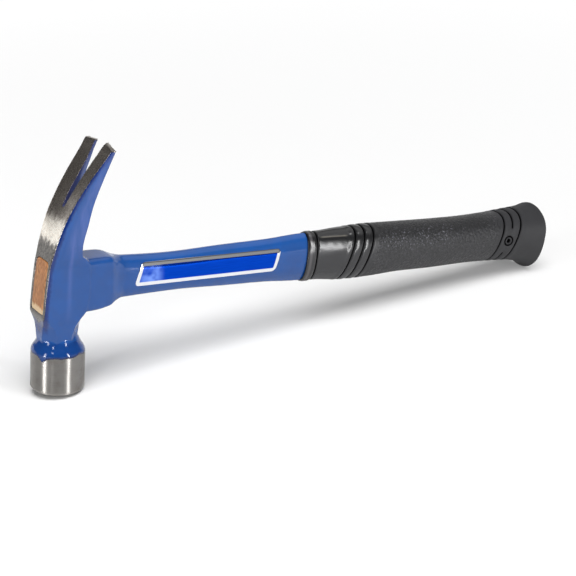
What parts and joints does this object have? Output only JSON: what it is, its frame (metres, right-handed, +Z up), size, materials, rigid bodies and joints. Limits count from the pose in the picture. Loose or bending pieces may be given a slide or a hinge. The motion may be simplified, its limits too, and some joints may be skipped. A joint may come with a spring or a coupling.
{
  "type": "rip claw hammer",
  "caption": "One-piece forged claw hammer: round bell, faceted neck, gently bent split claw, wood plug in the head, flat shank with foil labels and a grooved rubber grip flaring to the butt.",
  "frame": {"origin": "middle of the bounding box's footprint, on the surface that the hammer stands on", "axes": "+Z up as pictured, with the striking face's rim and the butt's lower edge resting on Z = 0; +X from the head to the butt; +Y to the far side as pictured"},
  "size_m": [0.3548, 0.0378, 0.1374],
  "materials": {
    "forging": "gloss blue enamel; bell and upper claw ground to bare steel",
    "plug": "smooth end plug, grain along the head",
    "grip": "satin black, finely pebbled",
    "label_near": "metallised foil, silver border round blue",
    "label_far": "metallised foil, silver border round blue"
  },
  "bodies": {
    "root": {"forged_body": "forging", "shock_plug": "plug", "grip": "grip", "label_near": "label_near", "label_far": "label_far"}
  },
  "joints": []
}
